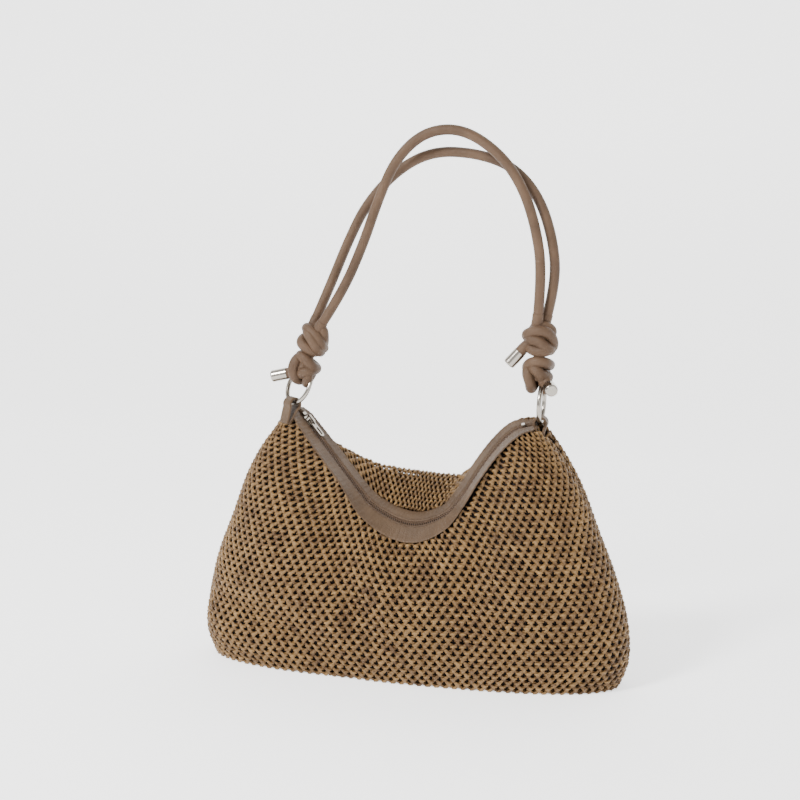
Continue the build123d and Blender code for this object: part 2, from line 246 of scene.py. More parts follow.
def back_fold(s, share):
    """From the crest down to the back facing's edge."""
    top, edge = crest(s), facing_point(BACK_ACROSS, s, np.ones_like(s))
    lift = np.array([0, -0.8, 1.0]) * FOLD_ROUND * closing(s)[..., None]
    near = top * 0.35 + edge * 0.65 + np.array([0, 0, 2.0]) * closing(s)[..., None]
    t, u = share[..., None], 1 - share[..., None]
    return top * u**3 + (top + lift) * 3 * u * u * t + near * 3 * u * t * t + edge * t**3


def add_folds(points, folds, normals):
    """Pushes points along their normals where the cloth has ridges and valleys."""
    push = np.zeros(points.shape[:-1])
    flat = points[..., [0, 2]]
    for start, end, width, depth in folds:
        a, run = np.array(start, float), np.array(end, float) - np.array(start, float)
        t = np.clip(((flat - a) @ run) / (run @ run), 0, 1)
        near = np.linalg.norm(flat - (a + t[..., None] * run), axis=-1)
        push += depth * np.sin(pi * np.clip(0.12 + 0.76 * t, 0, 1)) * np.exp(-((near / width) ** 2))
    return points + normals * push[..., None]


def grid_normals(points, outside):
    """Unit normals of a grid of points, turned to the side that outside says."""
    normals = unit(np.cross(np.gradient(points, axis=1), np.gradient(points, axis=0)))
    return normals * outside


class Cloth:
    """A cloth surface measured in mm: u along it from its middle, v up from its foot."""

    COLUMN, ROW = 3.0, 2.0

    def __init__(self, points, outside, folds=(), level_row=20):
        normals = grid_normals(points, outside)
        points = add_folds(points, folds, normals)
        level = points[level_row]
        run = running_length(level)
        self.half = run[-1] / 2
        self.u = np.arange(-self.half, self.half + self.COLUMN, self.COLUMN)
        column = np.interp(self.u + self.half, run, np.arange(len(run)))
        low = np.clip(column.astype(int), 0, points.shape[1] - 2)
        mix = (column - low)[None, :, None]
        points = points[:, low] * (1 - mix) + points[:, low + 1] * mix
        climb = np.linalg.norm(np.diff(points, axis=0), axis=2)
        climb = np.concatenate([np.zeros((1, points.shape[1])), np.cumsum(climb, axis=0)])
        self.top = climb[-1]
        self.v = np.arange(0, self.top.max() + self.ROW, self.ROW)
        grid = np.empty((len(self.v), points.shape[1], 3))
        for j in range(points.shape[1]):
            for k in range(3):
                grid[:, j, k] = np.interp(self.v, climb[:, j], points[:, j, k])
        self.grid = grid
        filled = np.minimum(self.v[:, None], self.top[None] - self.ROW)
        rows = np.clip((filled / self.ROW).astype(int), 0, len(self.v) - 2)
        normals = grid_normals(grid, outside)
        self.normals = normals[rows, np.arange(points.shape[1])[None]]

    def at(self, u, v, rise):
        """Points at u, v and that far out of the cloth."""
        i = np.clip(v / self.ROW, 0, len(self.v) - 1.001)
        j = np.clip((u + self.half) / self.COLUMN, 0, len(self.u) - 1.001)
        i0, j0 = i.astype(int), j.astype(int)
        fi, fj = (i - i0)[..., None], (j - j0)[..., None]

        def blend(values):
            low = values[i0, j0] * (1 - fj) + values[i0, j0 + 1] * fj
            high = values[i0 + 1, j0] * (1 - fj) + values[i0 + 1, j0 + 1] * fj
            return low * (1 - fi) + high * fi

        return blend(self.grid) + unit(blend(self.normals)) * rise[..., None]

    def height(self, u):
        """Length of the cloth from its foot to its top edge at u."""
        return np.interp(u, self.u, self.top)


def wall_cloth(side, inset, folds, fold_over=False):
    """A wall as cloth, with the back wall's turn from its crest to the facing if fold_over."""
    columns, rows, fold_rows = 241, 91, 31
    s, v = np.meshgrid(np.linspace(-1, 1, columns), np.linspace(0, 1, rows))
    points = wall(s, v, side, inset)
    outside = 1 if side < 0 else -1
    if fold_over:
        s, share = np.meshgrid(np.linspace(-1, 1, columns), np.linspace(0, 1, fold_rows)[1:])
        over = back_fold(s, share)
        over[..., 2] -= inset * (1 - share)
        points = np.concatenate([points, over])
    return Cloth(points, outside, folds)


# ---------------------------------------------------------------- materials


class Nodes:
    """Short way to wire one material."""

    def __init__(self, name):
        self.material = bpy.data.materials.new(name)
        self.material.use_nodes = True
        self.tree = self.material.node_tree
        self.shader = self.tree.nodes["Principled BSDF"]

    def add(self, kind, links=(), **values):
        """New node with its properties and inputs set, its sockets linked to the sources given."""
        node = self.tree.nodes.new(kind)
        for key, value in values.items():
            if hasattr(node, key):
                setattr(node, key, value)
            else:
                node.inputs[key.replace("_", " ")].default_value = value
        for socket, source in links:
            self.tree.links.new(source, node.inputs[socket])
        return node

    def set(self, **values):
        for key, value in values.items():
            self.shader.inputs[key.replace("_", " ")].default_value = value

    def place(self, kind="Object"):
        return self.add("ShaderNodeTexCoord").outputs[kind]

    def noise(self, place, scale, detail=2.0):
        return self.add("ShaderNodeTexNoise", [("Vector", place)], Scale=scale, Detail=detail).outputs["Fac"]

    def combine(self, operation, first, second):
        return self.add("ShaderNodeMath", [(0, first), (1, second)], operation=operation).outputs[0]

    def colour(self, source):
        self.tree.links.new(source, self.shader.inputs["Base Color"])

    def ramp(self, source, stops):
        """Colour of a value, between stops of (value, colour)."""
        node = self.add("ShaderNodeValToRGB", [("Fac", source)])
        elements = node.color_ramp.elements
        while len(elements) < len(stops):
            elements.new(0.5)
        for element, (place, colour) in zip(elements, stops):
            element.position = place
            element.color = (*colour, 1)
        return node.outputs["Color"]

    def bump(self, heights, distance, strength=1.0):
        """Adds a bump for each height, one over another."""
        last = None
        for height in heights:
            links = [("Height", height)]
            if last:
                links.append(("Normal", last))
            node = self.add("ShaderNodeBump", links, Distance=distance, Strength=strength)
            last = node.outputs["Normal"]
        self.tree.links.new(last, self.shader.inputs["Normal"])


def straw_material(name, light, dark):
    """Fibrous straw whose colour follows the strand value (each strand's own tone, with painted shade where
    it dips under another strand), a broad patch and its fibres.
    """
    n = Nodes(name)
    place = n.place()
    strand = n.add("ShaderNodeAttribute", attribute_name="strand").outputs["Fac"]
    patch, fibre = n.noise(place, 75.0), n.noise(place, 900.0, 4.0)
    shade = n.combine("ADD", n.combine("ADD", strand, patch), fibre)
    middle = tuple((a + b) / 2 for a, b in zip(light, dark))
    share = n.add("ShaderNodeMapRange", [("Value", shade)], From_Min=0.7, From_Max=2.3)
    n.colour(n.ramp(share.outputs[0], [(0.0, dark), (0.5, middle), (1.0, light)]))
    n.set(Roughness=0.5, Specular_IOR_Level=0.3)
    n.bump([fibre], 0.0004, 0.7)
    return n.material


def leather_material(name, light, dark, wrinkle_scale=0.0):
    """Grained leather, with wrinkles across a strip if wrinkle_scale is given."""
    n = Nodes(name)
    place = n.place()
    grain = n.add("ShaderNodeTexVoronoi", [("Vector", place)], Scale=1100.0)
    n.colour(n.ramp(n.noise(place, 45.0, 5.0), [(0.3, dark), (0.7, light)]))
    heights = [grain.outputs["Distance"], n.noise(place, 600.0, 5.0)]
    if wrinkle_scale:
        stretch = n.add("ShaderNodeMapping", [("Vector", n.place("UV"))])
        stretch.inputs["Scale"].default_value = (wrinkle_scale, 1.2, 1.0)
        heights.append(n.noise(stretch.outputs[0], 1.0, 3.0))
    n.set(Roughness=0.5, Specular_IOR_Level=0.22)
    n.bump(heights, 0.0005, 0.55)
    return n.material


def cloth_material(name, light, dark, scale):
    """Plain woven cloth: two crossed fine waves."""
    n = Nodes(name)
    place = n.place()
    waves = [
        n.add("ShaderNodeTexWave", [("Vector", place)], bands_direction=axis, Scale=scale, Distortion=1.5)
        for axis in ("X", "Z")
    ]
    both = n.combine("MULTIPLY", waves[0].outputs["Fac"], waves[1].outputs["Fac"])
    n.colour(n.ramp(both, [(0.1, dark), (0.9, light)]))
    n.set(Roughness=0.85)
    n.bump([both], 0.0003)
    return n.material


def metal_material(name, colour):
    """Polished metal with faint wear."""
    n = Nodes(name)
    wear = n.noise(n.place(), 240.0, 6.0)
    rough = n.add("ShaderNodeMapRange", [("Value", wear)], To_Min=0.12, To_Max=0.3)
    n.tree.links.new(rough.outputs[0], n.shader.inputs["Roughness"])
    n.colour(n.ramp(wear, [(0.3, tuple(c * 0.9 for c in colour)), (0.7, colour)]))
    n.set(Metallic=1.0)
    n.bump([wear], 0.00004, 0.5)
    return n.material


def plastic_material(name, colour):
    n = Nodes(name)
    patch = n.noise(n.place(), 500.0)
    n.colour(n.ramp(patch, [(0.3, tuple(c * 0.8 for c in colour)), (0.7, colour)]))
    n.set(Roughness=0.4)
    n.bump([patch], 0.0001)
    return n.material


STRAW = straw_material("straw", (0.385, 0.228, 0.086), (0.06, 0.028, 0.008))
LEATHER_BAND = leather_material("band_leather", (0.092, 0.056, 0.031), (0.058, 0.034, 0.018), 90.0)
LEATHER_CORD = leather_material("cord_leather", (0.098, 0.058, 0.034), (0.06, 0.034, 0.019))
# A real lining, its colours darkened to near black as painted shade of the bag's inside.
LINING = cloth_material("lining_cloth", (0.02, 0.009, 0.004), (0.01, 0.0045, 0.002), 500.0)
TAPE = cloth_material("zip_tape", (0.06, 0.034, 0.019), (0.03, 0.016, 0.009), 700.0)
COIL = plastic_material("zip_coil", (0.11, 0.063, 0.035))
NICKEL = metal_material("nickel", (0.36, 0.33, 0.29))
STITCH = cloth_material("stitches", (0.14, 0.085, 0.05), (0.07, 0.04, 0.024), 900.0)

# ---------------------------------------------------------------- mesh helpers


def new_mesh(name, points, faces, material):
    """Smooth-shaded object from points in mm."""
    mesh = bpy.data.meshes.new(name)
    mesh.from_pydata((np.asarray(points) * MM).tolist(), [], faces)
    mesh.materials.append(material)
    mesh.polygons.foreach_set("use_smooth", [True] * len(mesh.polygons))
    mesh.update()
    obj = bpy.data.objects.new(name, mesh)
    bpy.context.scene.collection.objects.link(obj)
    return obj


def grid_faces(rows, columns, keep=None):
    """Quads of a grid; keep says for each quad whether it is there."""
    i, j = np.meshgrid(np.arange(rows - 1), np.arange(columns - 1), indexing="ij")
    if keep is not None:
        i, j = i[keep], j[keep]
    i, j = i.ravel(), j.ravel()
    first = i * columns + j
    return np.stack([first, first + 1, first + columns + 1, first + columns], axis=1).tolist()


def sheet_mesh(name, grid, material, keep=None, thickness=0.0):
    """Sheet through a grid of points, with UVs in metres along and across, and a thickness."""
    rows, columns = grid.shape[:2]
    obj = new_mesh(name, grid.reshape(-1, 3), grid_faces(rows, columns, keep), material)
    along = np.cumsum(np.linalg.norm(np.diff(grid, axis=1, prepend=grid[:, :1]), axis=2), axis=1)
    over = np.cumsum(np.linalg.norm(np.diff(grid, axis=0, prepend=grid[:1]), axis=2), axis=0)
    uv = np.stack([along, over], axis=2).reshape(-1, 2) * MM
    corners = np.array([loop.vertex_index for loop in obj.data.loops])
    obj.data.uv_layers.new(name="UVMap").data.foreach_set("uv", uv[corners].ravel())
    if thickness:
        solid = obj.modifiers.new("thickness", "SOLIDIFY")
        solid.thickness = thickness * MM
        solid.offset = 0
    return obj


def running_length(line):
    """Length along a line of points, at each point."""
    return np.concatenate([[0], np.cumsum(np.linalg.norm(np.diff(line, axis=0), axis=1))])


def along_line(places, run, line):
    """Points of a line at the given lengths along it."""
    return np.stack([np.interp(places, run, line[:, k]) for k in range(3)], axis=1)


def tube_rings(path, radius, sides):
    """Rings of points round a path (n, 3), without twist."""
    tangent = unit(np.gradient(path, axis=0))
    side = [unit(np.cross(tangent[0], (0.31, 0.17, 0.93)))]
    for t in tangent[1:]:
        side.append(unit(side[-1] - t * (side[-1] @ t)))
    side = np.array(side)
    top = unit(np.cross(side, tangent))
    turn = np.linspace(0, 2 * pi, sides, endpoint=False)
    ring = side[:, None] * np.cos(turn)[None, :, None] + top[:, None] * np.sin(turn)[None, :, None]
    return path[:, None] + ring * radius


def tube_faces(rings, sides, offset):
    """Quads round a tube and a cap at each end."""
    faces = []
    for i in range(rings - 1):
        a, b = offset + i * sides, offset + (i + 1) * sides
        for k in range(sides):
            k2 = (k + 1) % sides
            faces.append((a + k, a + k2, b + k2, b + k))
    faces.append(tuple(offset + k for k in range(sides))[::-1])
    faces.append(tuple(offset + (rings - 1) * sides + k for k in range(sides)))
    return faces


def tubes(name, paths, radius, material, sides):
    """One object of several tubes, each along a path of points."""
    points, faces = [], []
    for path in paths:
        rings = tube_rings(np.asarray(path, float), radius, sides)
        faces += tube_faces(len(rings), sides, len(points))
        points += rings.reshape(-1, 3).tolist()
    return new_mesh(name, points, faces, material)


def smooth_path(points, count):
    """Catmull-Rom curve through a few points."""
    rows = np.array(points, float)
    table = np.concatenate([np.arange(len(rows))[:, None], rows], axis=1)
    return between(table, np.linspace(0, len(rows) - 1, count))


def part(obj, body, slot, *nodes):
    """Gives a piece its body and hides the CAD nodes it stands for; slot is not used."""
    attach(obj, body)
    if nodes:
        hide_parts(*nodes)
    return obj


# ---------------------------------------------------------------- open weave

HOLE_U = 8.4            # between holes of one row
HOLE_V = 5.5            # between rows, each shifted by half a hole
STRAND = 1.85           # half width of a straw strand
STRAND_THICK = 0.9      # half thickness of a strand
LIFT = 0.9              # how far a strand rises where it passes over another
KINK = 0.45             # how upright the strands stand where they cross
SKEW = 0.95             # how much wider a hole is near its foot than near its top
LOOP_LENGTH = 6.2       # loops laid across the crossings
LOOP_HALF = 1.25        # half width of a loop
LOOP_RISE = 1.15
LOOP_LIFT = 0.7         # of a loop's middle above its crossing
LOOP_MARGIN = 4.5       # clear of the leather facing
STEPS = 4               # points of a strand between two rows
SIDES = 5               # of a strand's section
TURN = np.linspace(0, 2 * pi, SIDES, endpoint=False)
rng = np.random.default_rng(7)


def strand_line(k, way, t):
    """Strand k at row t, leaning to the way side: u, v and rise."""
    lean = t + (SKEW * (1 - np.cos(2 * pi * t)) - KINK * np.sin(2 * pi * t)) / (2 * pi)
    u = HOLE_U * k + way * HOLE_U / 2 * lean
    return u, HOLE_V * t, way * LIFT * np.cos(pi * t)


def straw_mesh(name, points, faces, shades):
    """Straw piece with a shade for each point, which its material reads."""
    obj = new_mesh(name, points, faces, STRAW)
    obj.data.attributes.new("strand", "FLOAT", "POINT").data.foreach_set("value", shades)
    return obj


def weave(name, cloth, inside):
    """Net of straw strands on a cloth; inside(u, v) keeps points clear of the cloth's outline."""
    rows = int(cloth.top.max() / HOLE_V) + 1
    t = np.linspace(0, rows, rows * STEPS + 1)
    reach = int((cloth.half + rows * HOLE_U / 2) / HOLE_U) + 1
    points, faces, shades = [], [], []
    for way in (-1, 1):
        for k in range(-reach, reach + 1):
            u, v, rise = strand_line(k, way, t)
            wobble = rng.normal(0, 0.16, (3, rows + 2))
            knots = np.arange(rows + 2)
            u = u + np.interp(t, knots, wobble[0])
            v = v + np.interp(t, knots, wobble[1])
            wide = STRAND * (1 + 0.22 * np.cos(2 * pi * t) + 0.7 * np.interp(t, knots, wobble[2]))
            du, dv = np.gradient(u), np.gradient(v)
            size = np.hypot(du, dv)
            pu, pv = -dv / size, du / size
            ru = u[:, None] + (pu * wide)[:, None] * np.cos(TURN)
            rv = v[:, None] + (pv * wide)[:, None] * np.cos(TURN)
            rr = rise[:, None] + STRAND_THICK * np.sin(TURN)
            held = inside(u, v) & (v <= cloth.height(u))
            start = len(points)
            ring = cloth.at(ru.ravel(), rv.ravel(), rr.ravel()).reshape(len(t), SIDES, 3)
            number = np.full(len(t), -1)
            number[held] = start // SIDES + np.arange(held.sum())
            points += ring[held].reshape(-1, 3).tolist()
            # A strand's value is its own tone at random plus painted shade: darker where it dips under a
            # crossing strand, lighter where it rides over one.
            shade = rng.uniform(-0.25, 0.2) + 0.16 * rise / LIFT
            shades += np.repeat(shade[held], SIDES).tolist()
            for i in np.flatnonzero(held[:-1] & held[1:]):
                a, b = number[i] * SIDES, number[i + 1] * SIDES
                for q in range(SIDES):
                    q2 = (q + 1) % SIDES
                    faces.append((a + q, a + q2, b + q2, b + q))
    return straw_mesh(name, points, faces, shades)


def weave_loops(name, cloth, inside):
    """Short straw loops that hold every crossing of the net, each laid across the strands."""
    bend = np.array([(-1, -0.5, -0.6), (-0.45, 0.1, 1.0), (0.45, 0.3, 1.0), (1, -0.3, -0.6)])
    points, faces, shades = [], [], []
    for row in range(1, int(cloth.top.max() / HOLE_V) + 1):
        for k in range(-int(cloth.half / HOLE_U) - 1, int(cloth.half / HOLE_U) + 2):
            centre_u = HOLE_U * (k + 0.5 * (row % 2)) + rng.normal(0, 0.2)
            centre_v = HOLE_V * row + rng.normal(0, 0.2)
            if not (inside(centre_u, centre_v) and centre_v <= cloth.height(centre_u) - LOOP_MARGIN):
                continue
            tilt = rng.normal(0.25, 0.2)
            u = centre_u + LOOP_LENGTH / 2 * bend[:, 0]
            v = centre_v + LOOP_LIFT + 1.1 * bend[:, 1] + tilt * bend[:, 0]
            rise = LOOP_RISE * bend[:, 2]
            ru = u[:, None] + 0 * TURN
            rv = v[:, None] + LOOP_HALF * np.cos(TURN)
            rr = rise[:, None] + STRAND_THICK * np.sin(TURN)
            start = len(points)
            points += cloth.at(ru.ravel(), rv.ravel(), rr.ravel()).tolist()
            shades += [rng.uniform(-0.1, 0.4)] * (len(bend) * SIDES)
            for i in range(len(bend) - 1):
                a, b = start + i * SIDES, start + (i + 1) * SIDES
                faces += [(a + q, b + q, b + (q + 1) % SIDES, a + (q + 1) % SIDES) for q in range(SIDES)]
    return straw_mesh(name, points, faces, shades)


WEAVE_INSET = 1.5       # the straw's middle, inside the CAD wall's outer face
front_cloth = wall_cloth(-1, WEAVE_INSET, FRONT_FOLDS)
back_cloth = wall_cloth(1, WEAVE_INSET, BACK_FOLDS, fold_over=True)


def between_seams(cloth):
    return lambda u, v: np.abs(u) < cloth.half - 1.0


WALLS = (("front", front_cloth), ("back", back_cloth))
for wall_name, cloth in WALLS:
    net = weave(f"{wall_name}_weave", cloth, between_seams(cloth))
    part(net, "bag", "straw_weave", f"{wall_name}_panel")
for wall_name, cloth in WALLS:
    part(weave_loops(f"{wall_name}_loops", cloth, between_seams(cloth)), "bag", "straw_weave")

LINING_INSET = 4.6      # the lining, inside the CAD wall's outer face


def lining_sheet(name, side, folds, node, drop=5.0):
    """Lining close behind the straw, up to just below the wall's top; its near-black colour is painted shade
    of the bag's inside.
    """
    cloth = wall_cloth(side, LINING_INSET, folds)
    rows = cloth.v[::2]
    v, u = np.meshgrid(rows, np.clip(cloth.u, -cloth.half, cloth.half), indexing="ij")
    top = cloth.height(u)
    grid = cloth.at(u, np.minimum(v, top - drop), np.zeros(u.shape))
    keep = rows[:-1, None] < (top - drop)[:-1, :-1]
    return part(sheet_mesh(name, grid, LINING, keep, 0.5), "bag", "lining", node)


lining_sheet("lining_front_cloth", -1, FRONT_FOLDS, "lining_front")
lining_sheet("lining_back_cloth", 1, BACK_FOLDS, "lining_back")


BASE_HALF = 186.0       # half width of the base's straw and lining
BASE_MIDDLE = 50.0      # v along the base's middle
BASE_STRAW_Z = 1.35
BASE_LINING_Z = 3.2


class FlatCloth:
    """The base's underside, seen from below."""

    half = BASE_HALF + 4.0
    top = np.array([2 * BASE_MIDDLE])

    def at(self, u, v, rise):
        return np.stack([u, v - BASE_MIDDLE, BASE_STRAW_Z - rise], axis=-1)

    def height(self, u):
        return np.full(np.shape(u), 2 * BASE_MIDDLE)


def base_depth(x, inset):
    """Half depth of the base at x."""
    _, half_width, depth, _ = SECTIONS[0]
    turn = np.arcsin(np.clip(x / (half_width - inset), -1, 1))
    return (depth - inset) * np.cos(turn) * (1 + SQUARENESS * np.sin(turn) ** 2)


def base_outline(inset):
    """Closed line round the base as (x, y), with its first point again at the end."""
    x = BASE_HALF * np.sin(np.linspace(-1, 1, 121) * pi / 2)
    depth = base_depth(x, inset)
    line = np.concatenate([np.stack([x, -depth], axis=1), np.stack([-x, depth], axis=1)[1:-1]])
    return np.concatenate([line, line[:1]])


def on_base(u, v):
    return (np.abs(v - BASE_MIDDLE) < base_depth(u, 3.0)) & (np.abs(u) < BASE_HALF)


part(weave("base_weave", FlatCloth(), on_base), "bag", "straw_weave", "base_panel")

outline = base_outline(5.0)
shares = np.linspace(0, 1, 12)[:, None, None]
level = np.full((len(shares), len(outline), 1), BASE_LINING_Z)
floor_grid = np.concatenate([outline[None] * shares, level], axis=2)
part(sheet_mesh("lining_base_cloth", floor_grid, LINING, None, 0.5), "bag", "lining", "lining_base")

# Straw cords that finish the base's edge and the two side seams
EDGE_SCALE = 1.022      # the edge's cord, outside the lining's outline
EDGE_Z = 1.9
edge_line = np.concatenate([outline * EDGE_SCALE, np.full((len(outline), 1), EDGE_Z)], axis=1)


def seam_line(end):
    """A side seam from the base to just below its tab; end is -1 or 1."""
    v = np.linspace(0.01, 0.955, 90)
    s = np.full(v.shape, end * 0.999)
    return wall(s, v, -1, WEAVE_INSET) * np.array([1, 0, 1])


def braid(line, count=2, pitch=7.0, spread=0.9, step=1.1):
    """Straw strands twisted round a line."""
    run = running_length(line)
    places = np.linspace(0, run[-1], int(run[-1] / step))
    middle = along_line(places, run, line)
    tangent = unit(np.gradient(middle, axis=0))
    upright = abs(tangent[0, 2]) >= 0.8
    side = unit(np.cross(tangent, (0.0, 1.0, 0.02) if upright else (0.03, 0.05, 1.0)))
    top = unit(np.cross(side, tangent))
    paths = []
    for k in range(count):
        turn = (places / pitch + k / count) * 2 * pi
        paths.append(middle + spread * (side * np.cos(turn)[:, None] + top * np.sin(turn)[:, None]))
    return paths


seam_paths = braid(edge_line)
for end in (-1, 1):
    seam_paths += braid(seam_line(end))
seams = tubes("straw_seams", seam_paths, 1.0, STRAW, 6)
seams.data.attributes.new("strand", "FLOAT", "POINT")
part(seams, "bag", "straw_weave")

# ---------------------------------------------------------------- leather facings and zip

FACING_EDGE = 1.06      # the facing laps this share over the weave's edge


def facing(name, table, node):
    """Leather strip with a turned edge by the zip."""
    s = np.linspace(-0.985, 0.985, 361)
    shares = np.array([0.125, 0.13, 0.15, 0.2, 0.35, 0.5, 0.65, 0.8, 0.92, 1.0, 1.04, FACING_EDGE])
    rises = np.array([-1.6, -0.6, 0.3, 0.9, 1.05, 1.0, 0.95, 1.0, 1.1, 1.25, 1.1, 0.5])
    x = CORNER_X * np.sin(s * pi / 2)
    waves = 0.12 * np.sin(x * 1.9) + 0.1 * np.sin(x * 3.3 + 1.0)
    rows = []
    for share, rise in zip(shares, rises):
        normal_rise = (rise + waves * (0.3 + share))[..., None]
        rows.append(facing_point(table, s, np.full(s.shape, share), normal_rise))
    obj = sheet_mesh(name, np.array(rows), LEATHER_BAND, None, 0.9)
    obj.modifiers.new("round", "SUBSURF").levels = 1
    return part(obj, "bag", "taupe_leather", node)


def stitch_row(name, table, share, rise, length=2.6, pitch=3.6):
    """Row of short thread stitches along a facing."""
    s = np.linspace(-0.95, 0.95, 1500)
    line = facing_point(table, s, np.full(s.shape, share), rise)
    run = running_length(line)
    paths = []
    for start in np.arange(1, run[-1] - length, pitch):
        places = np.linspace(start, start + length, 5)
        path = along_line(places, run, line)
        lift = outward(table, path[:, 0]) * (0.28 * np.sin(np.linspace(0, pi, 5)) - 0.1)[:, None]
        paths.append(path + lift)
    return part(tubes(name, paths, 0.28, STITCH, 6), "bag", "taupe_leather")


facing("front_facing", FRONT_ACROSS, "front_band")
facing("back_facing", BACK_ACROSS, "back_band")
stitch_row("front_stitches", FRONT_ACROSS, 0.24, 1.4)
stitch_row("back_stitches", BACK_ACROSS, 0.24, 1.4)


def zip_tape(name, table, node):
    """Textile tape that runs from the coil in under the facing."""
    s = np.linspace(-0.93, 0.93, 161)
    rows = [facing_point(table, s, np.full(s.shape, share), -1.2) for share in (0.045, 0.2, 0.4)]
    return part(sheet_mesh(name, np.array(rows), TAPE, None, 0.4), "bag", "zip_tape", node)


zip_tape("tape_front", FRONT_ACROSS, "zipper_tape_front")
zip_tape("tape_back", BACK_ACROSS, "zipper_tape_back")


def zip_teeth(name, table, node, shift, start=-104.0, end=103.5, pitch=1.9):
    """Coil loops that hook over the zip's centre line."""
    x = np.linspace(start, end, 2000)
    line = zip_point(x)
    run = running_length(line)
    turn = np.linspace(0, 2 * pi, 9)
    paths = []
    for place in np.arange(shift * pitch, run[-1], pitch):
        at = np.interp(place, run, x)
        middle = zip_point(at)
        over, up, along = across(table, at), outward(table, at), zip_tangent(at)
        loop = (
            over * (1.15 - 1.45 * np.cos(turn))[:, None]
            + up * (0.1 + 0.55 * np.sin(turn))[:, None]
            + along * (turn / (2 * pi) * 0.5)[:, None]
        )
        paths.append(middle + loop)
    return part(tubes(name, paths, 0.36, COIL, 5), "bag", "zip_coil", node)


zip_teeth("teeth_front", FRONT_ACROSS, "zipper_coil_front", 0.0)
zip_teeth("teeth_back", BACK_ACROSS, "zipper_coil_back", 0.5)

# ---------------------------------------------------------------- corner tabs

RING_RADIUS = 16.5
TAB_RADIUS = 5.4        # of the strap's fold round the ring's wire
TAB_TAIL = 19           # from the fold's middle to the sewn end
TAB_DROP = 1.2          # of the fold's middle below the wire
LEFT_RING, RIGHT_RING = np.array([-105.0, -5, 260]), np.array([117.5, 0, 253])


def tab(name, centre, normal, hang):
    """Leather strap folded round the ring's wire, sewn together below it."""
    run = unit(np.cross(normal, (0, 0, -1.0)))
    lowest = unit(np.cross(run, normal))
    lowest = lowest * -np.sign(lowest[2])
    down = unit(hang - run * (run @ hang))
    side = np.cross(run, down)
    middle = centre + lowest * RING_RADIUS + down * TAB_DROP
    turns = np.linspace(0.25 * pi, 1.75 * pi, 25)
    loop = [middle + TAB_RADIUS * (down * cos(a) + side * sin(a)) for a in turns]
    tail = middle + down * TAB_TAIL
    left = [loop[0] * (1 - t) + (tail + side * 0.9) * t for t in np.linspace(1, 0.08, 9)]
    right = [loop[-1] * (1 - t) + (tail - side * 0.9) * t for t in np.linspace(0.08, 1, 9)]
    line = np.array(left + loop + right)
    shares = np.linspace(-1, 1, 9)
    ends = np.linspace(-1, 1, len(line))
    width = 6.4 - 1.4 * (1 - np.abs(ends)) ** 2
    rows = [line + run * (share * width)[:, None] for share in shares]
    obj = sheet_mesh(name, np.array(rows), LEATHER_BAND, None, 2.2)
    bevel = obj.modifiers.new("edge", "BEVEL")
    bevel.width = 0.5 * MM
    bevel.segments = 2
    return obj, (side, down, run, tail, middle)


LEFT_NORMAL, RIGHT_NORMAL = unit(np.array([0.57, 0.71, -0.42])), unit(RIGHT_RING - LEFT_RING)
left_tab, left_frame = tab("left_loop", LEFT_RING, LEFT_NORMAL, np.array([-0.4, -0.231, -0.887]))
right_tab, right_frame = tab("right_loop", RIGHT_RING, RIGHT_NORMAL, np.array([0, 0, -1.0]))
part(right_tab, "bag", "taupe_leather", "right_tab")
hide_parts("left_tab")
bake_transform(left_tab)


def tab_stitches(name, frame_of_tab, count=4, pitch=2.9):
    """Rows of thread stitches across a tab's sewn end, on both faces."""
    normal, down, wide, tail, _ = frame_of_tab
    paths = []
    for face in (-1, 1):
        for k in range(count):
            across_by = (k - (count - 1) / 2) * pitch
            start = tail - down * 3.2 + wide * (across_by - 1.0) + normal * face * 2.0
            paths.append(np.array([start, start + wide * 1.0 + normal * face * 0.25, start + wide * 2.0]))
    return part(tubes(name, paths, 0.3, STITCH, 6), "bag", "taupe_leather")


tab_stitches("left_tab_stitches", left_frame)
tab_stitches("right_tab_stitches", right_frame)

# ---------------------------------------------------------------- handle

CORD = 9.0
FRONT_CORD_ROUTE = [
    (-83, -10, 315),
    (-62, -9, 346),
    (-42, -9, 390),
    (-28, -9, 430),
    (-12, -9, 465),
    (14, -8, 488),
    (47, -7, 490),
    (79, -6, 469),
    (99, -5, 441),
    (111, -4, 405),
    (116.5, -3, 367),
    (113.5, -4, 327),
]
BACK_CORD_ROUTE = [
    (-91, -1, 318),
    (-78, 7, 351),
    (-62, 9, 390),
    (-44, 9, 425),
    (-14, 9, 456),
    (18, 8, 471),
    (56, 8, 469),
    (88, 7, 458),
    (111, 6, 433),
    (124, 5, 397),
    (128, 4, 359),
    (119.5, 4, 326),
]


def handle_cord(name, route, node):
    """Round leather cord as one NURBS curve."""
    curve = bpy.data.curves.new(name, "CURVE")
    curve.dimensions = "3D"
    curve.bevel_depth = CORD / 2 * MM
    curve.bevel_resolution = 6
    curve.resolution_u = 24
    curve.use_fill_caps = True
    spline = curve.splines.new("NURBS")
    spline.points.add(len(route) - 1)
    for point, place in zip(spline.points, route):
        point.co = (*(c * MM for c in place), 1)
    spline.order_u = 3
    spline.use_endpoint_u = True
    curve.materials.append(LEATHER_CORD)
    obj = bpy.data.objects.new(name, curve)
    bpy.context.scene.collection.objects.link(obj)
    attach(obj, "handle")
    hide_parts(node)
    return obj


handle_cord("cord_front", FRONT_CORD_ROUTE, "handle_cord_front")
handle_cord("cord_back", BACK_CORD_ROUTE, "handle_cord_back")

LEFT_KNOTS, LEFT_UP = np.array([-106.0, -6, 265]), unit(np.array([16.0, 1, 50]))
RIGHT_KNOTS, RIGHT_UP = np.array([113.5, 0, 269]), unit(np.array([3.0, 0, 53]))
LEFT_LEAN = np.array([3.5, 0, 0])   # the left knots' turns bulge more to the right
KNOT_CORD = 4.95


def knot_frame(foot, up):
    """Maps (right, front, height) in a knot to the row frame."""
    right = unit(np.cross(np.array([0, 1.0, 0]), up))
    front = np.cross(up, right) * -1
    return lambda points: foot + np.array(points, float) @ np.array([right, front, up])


